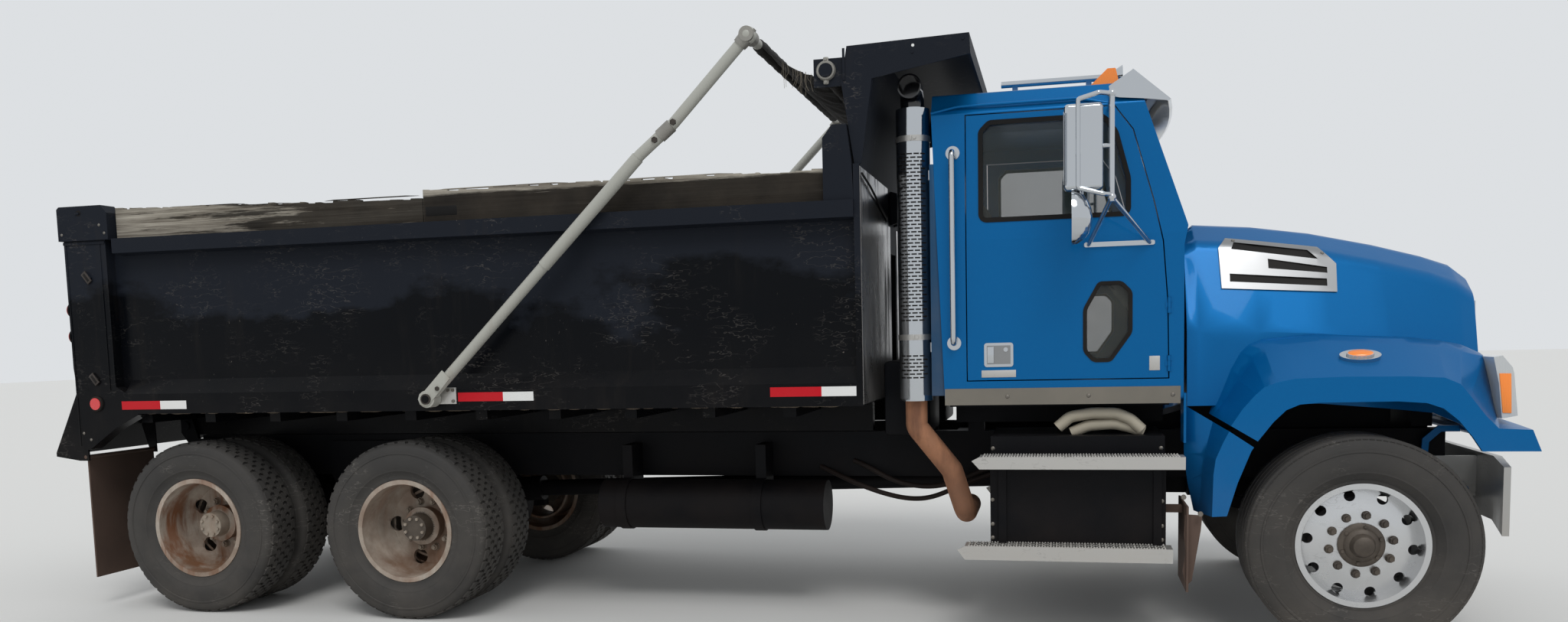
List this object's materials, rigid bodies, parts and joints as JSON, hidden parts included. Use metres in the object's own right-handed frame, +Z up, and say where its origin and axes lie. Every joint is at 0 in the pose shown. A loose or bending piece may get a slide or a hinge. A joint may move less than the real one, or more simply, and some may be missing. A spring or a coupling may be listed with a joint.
{
  "type": "dump truck",
  "caption": "Conventional-cab tandem-axle dump truck with a tipping steel bed, cab shield, tarp bow, tilting hood, doors and steered front wheels.",
  "frame": {"origin": "on the ground under the middle of the truck", "axes": "+X forward along the truck, +Y to the truck's left, +Z up"},
  "size_m": [8.204, 2.856, 3.149],
  "materials": {
    "blue_paint": "bright metallic blue gloss",
    "bed_paint": "semi-gloss black, scratched and dusty",
    "frame_paint": "satin black with road dust",
    "arm_paint": "light grey gloss",
    "chrome": "polished",
    "bumper_steel": "dull steel",
    "rim_alloy": "polished",
    "rim_steel": "white paint with rust and mud",
    "bare_alloy": "mill finish",
    "rusty_steel": "rusted pipe",
    "tyre": "dusty rubber",
    "flap_rubber": "dusty rubber sheet",
    "wood": "weathered grey boards",
    "mesh_cloth": "dark woven mesh",
    "seat_cloth": "dark grey cloth",
    "dash_plastic": "textured dark grey",
    "glass": "clear, lightly tinted",
    "amber_lens": "amber lens",
    "lamp_lens": "clear and amber lens",
    "red_lens": "red lens"
  },
  "bodies": {
    "root": {"frame_rails": "frame_paint", "crossmembers": "frame_paint", "engine": "frame_paint", "front_axle": "frame_paint", "drive_axles": "frame_paint", "suspension": "frame_paint", "air_tank": "frame_paint", "fuel_tank": "bare_alloy", "battery_box": "frame_paint", "steps": "bare_alloy", "cab": "blue_paint", "cab_glass": "glass", "seats": "seat_cloth", "dashboard": "dash_plastic", "cab_trim": "chrome", "roof_markers": "amber_lens", "exhaust_stack": "chrome", "exhaust_pipe": "rusty_steel", "front_bumper": "bumper_steel", "front_flaps": "flap_rubber", "splash_panels": "blue_paint"},
    "hood": {"hood": "blue_paint", "grille": "chrome", "headlamps": "lamp_lens"},
    "door_right": {"door_right": "blue_paint", "door_glass_right": "glass", "mirror_right": "chrome"},
    "door_left": {"door_left": "blue_paint", "door_glass_left": "glass", "mirror_left": "chrome"},
    "steer_right": {"knuckle_right": "frame_paint"},
    "steer_left": {"knuckle_left": "frame_paint"},
    "tie_rod": {"tie_rod": "frame_paint"},
    "front_wheel_right": {"front_tyre_right": "tyre", "front_rim_right": "rim_alloy"},
    "front_wheel_left": {"front_tyre_left": "tyre", "front_rim_left": "rim_alloy"},
    "mid_wheels_right": {"mid_tyres_right": "tyre", "mid_rims_right": "rim_steel"},
    "mid_wheels_left": {"mid_tyres_left": "tyre", "mid_rims_left": "rim_steel"},
    "rear_wheels_right": {"rear_tyres_right": "tyre", "rear_rims_right": "rim_steel"},
    "rear_wheels_left": {"rear_tyres_left": "tyre", "rear_rims_left": "rim_steel"},
    "bed": {"bed_floor": "bed_paint", "bed_side_right": "bed_paint", "bed_side_left": "bed_paint", "bed_front": "bed_paint", "bed_lamps": "red_lens", "sideboards": "wood", "tarp": "mesh_cloth"},
    "tailgate": {"tailgate": "bed_paint"},
    "tarp_bow": {"tarp_bow": "arm_paint"},
    "rear_flaps": {"rear_flaps": "flap_rubber"},
    "hoist_barrel": {"hoist_barrel": "frame_paint"},
    "hoist_stage_1": {"hoist_stage_1": "chrome"},
    "hoist_stage_2": {"hoist_stage_2": "chrome"},
    "hoist_rod": {"hoist_rod": "chrome"}
  },
  "joints": [
    {"name": "hood_tilt", "type": "hinge", "parent": "root", "child": "hood", "pos_m": [4.002, 0, 0.7], "axis": [0, 1, 0], "range_deg": [0, 70]},
    {"name": "door_right_swing", "type": "hinge", "parent": "root", "child": "door_right", "pos_m": [2.501, -1.003, 1.9], "axis": [0, 0, 1], "range_deg": [0, 70]},
    {"name": "door_left_swing", "type": "hinge", "parent": "root", "child": "door_left", "pos_m": [2.501, 1.003, 1.9], "axis": [0, 0, -1], "range_deg": [0, 70]},
    {"name": "steer_right", "type": "hinge", "parent": "root", "child": "steer_right", "pos_m": [3.362, -0.86, 0.523], "axis": [0, 0, 1], "range_deg": [-32, 32]},
    {"name": "steer_left", "type": "hinge", "parent": "root", "child": "steer_left", "pos_m": [3.362, 0.86, 0.523], "axis": [0, 0, 1], "range_deg": [-32, 32]},
    {"name": "tie_rod_pivot", "type": "hinge", "parent": "steer_left", "child": "tie_rod", "pos_m": [3.187, 0.86, 0.385], "axis": [0, 0, 1], "range_deg": [-32, 32]},
    {"name": "front_spin_right", "type": "hinge", "parent": "steer_right", "child": "front_wheel_right", "pos_m": [3.362, -1.035, 0.523], "axis": [0, 1, 0], "continuous": true},
    {"name": "front_spin_left", "type": "hinge", "parent": "steer_left", "child": "front_wheel_left", "pos_m": [3.362, 1.035, 0.523], "axis": [0, 1, 0], "continuous": true},
    {"name": "mid_spin_right", "type": "hinge", "parent": "root", "child": "mid_wheels_right", "pos_m": [-1.6995, -0.912, 0.5195], "axis": [0, 1, 0], "continuous": true},
    {"name": "mid_spin_left", "type": "hinge", "parent": "root", "child": "mid_wheels_left", "pos_m": [-1.6995, 0.912, 0.5195], "axis": [0, 1, 0], "continuous": true},
    {"name": "rear_spin_right", "type": "hinge", "parent": "root", "child": "rear_wheels_right", "pos_m": [-3.0905, -0.912, 0.5195], "axis": [0, 1, 0], "continuous": true},
    {"name": "rear_spin_left", "type": "hinge", "parent": "root", "child": "rear_wheels_left", "pos_m": [-3.0905, 0.912, 0.5195], "axis": [0, 1, 0], "continuous": true},
    {"name": "bed_lift", "type": "hinge", "parent": "root", "child": "bed", "pos_m": [-3.723, 0, 1.085], "axis": [0, -1, 0], "range_deg": [0, 45]},
    {"name": "tailgate_swing", "type": "hinge", "parent": "bed", "child": "tailgate", "pos_m": [-3.838, 0, 2.36], "axis": [0, 1, 0], "range_deg": [0, 75]},
    {"name": "tarp_swing", "type": "hinge", "parent": "bed", "child": "tarp_bow", "pos_m": [-1.449, 0, 1.285], "axis": [0, -1, 0], "range_deg": [0, 106], "deforming": ["tarp"]},
    {"name": "rear_flaps_hang", "type": "hinge", "parent": "bed", "child": "rear_flaps", "pos_m": [-3.888, 0, 0.948], "axis": [0, 1, 0], "range_deg": [0, 45]},
    {"name": "hoist_tilt", "type": "hinge", "parent": "root", "child": "hoist_barrel", "pos_m": [1.157, 0, 0.82], "axis": [0, -1, 0], "range_deg": [0, 27.2]},
    {"name": "hoist_stage_1_slide", "type": "slide", "parent": "hoist_barrel", "child": "hoist_stage_1", "axis": [0, 0, 1], "range_m": [0, 1.2132]},
    {"name": "hoist_stage_2_slide", "type": "slide", "parent": "hoist_stage_1", "child": "hoist_stage_2", "axis": [0, 0, 1], "range_m": [0, 1.2132]},
    {"name": "hoist_rod_slide", "type": "slide", "parent": "hoist_stage_2", "child": "hoist_rod", "axis": [0, 0, 1], "range_m": [0, 1.2132]}
  ],
  "couplings": [
    {"joint": "steer_left", "follows": "steer_right", "ratio": 1},
    {"joint": "tie_rod_pivot", "follows": "steer_right", "ratio": -1},
    {"joint": "rear_flaps_hang", "follows": "bed_lift", "ratio": 1},
    {"joint": "hoist_tilt", "follows": "bed_lift", "ratio": 0.5929},
    {"joint": "hoist_stage_1_slide", "follows": "bed_lift", "m_per_rad": 1.5421},
    {"joint": "hoist_stage_2_slide", "follows": "bed_lift", "m_per_rad": 1.5421},
    {"joint": "hoist_rod_slide", "follows": "bed_lift", "m_per_rad": 1.5421}
  ]
}
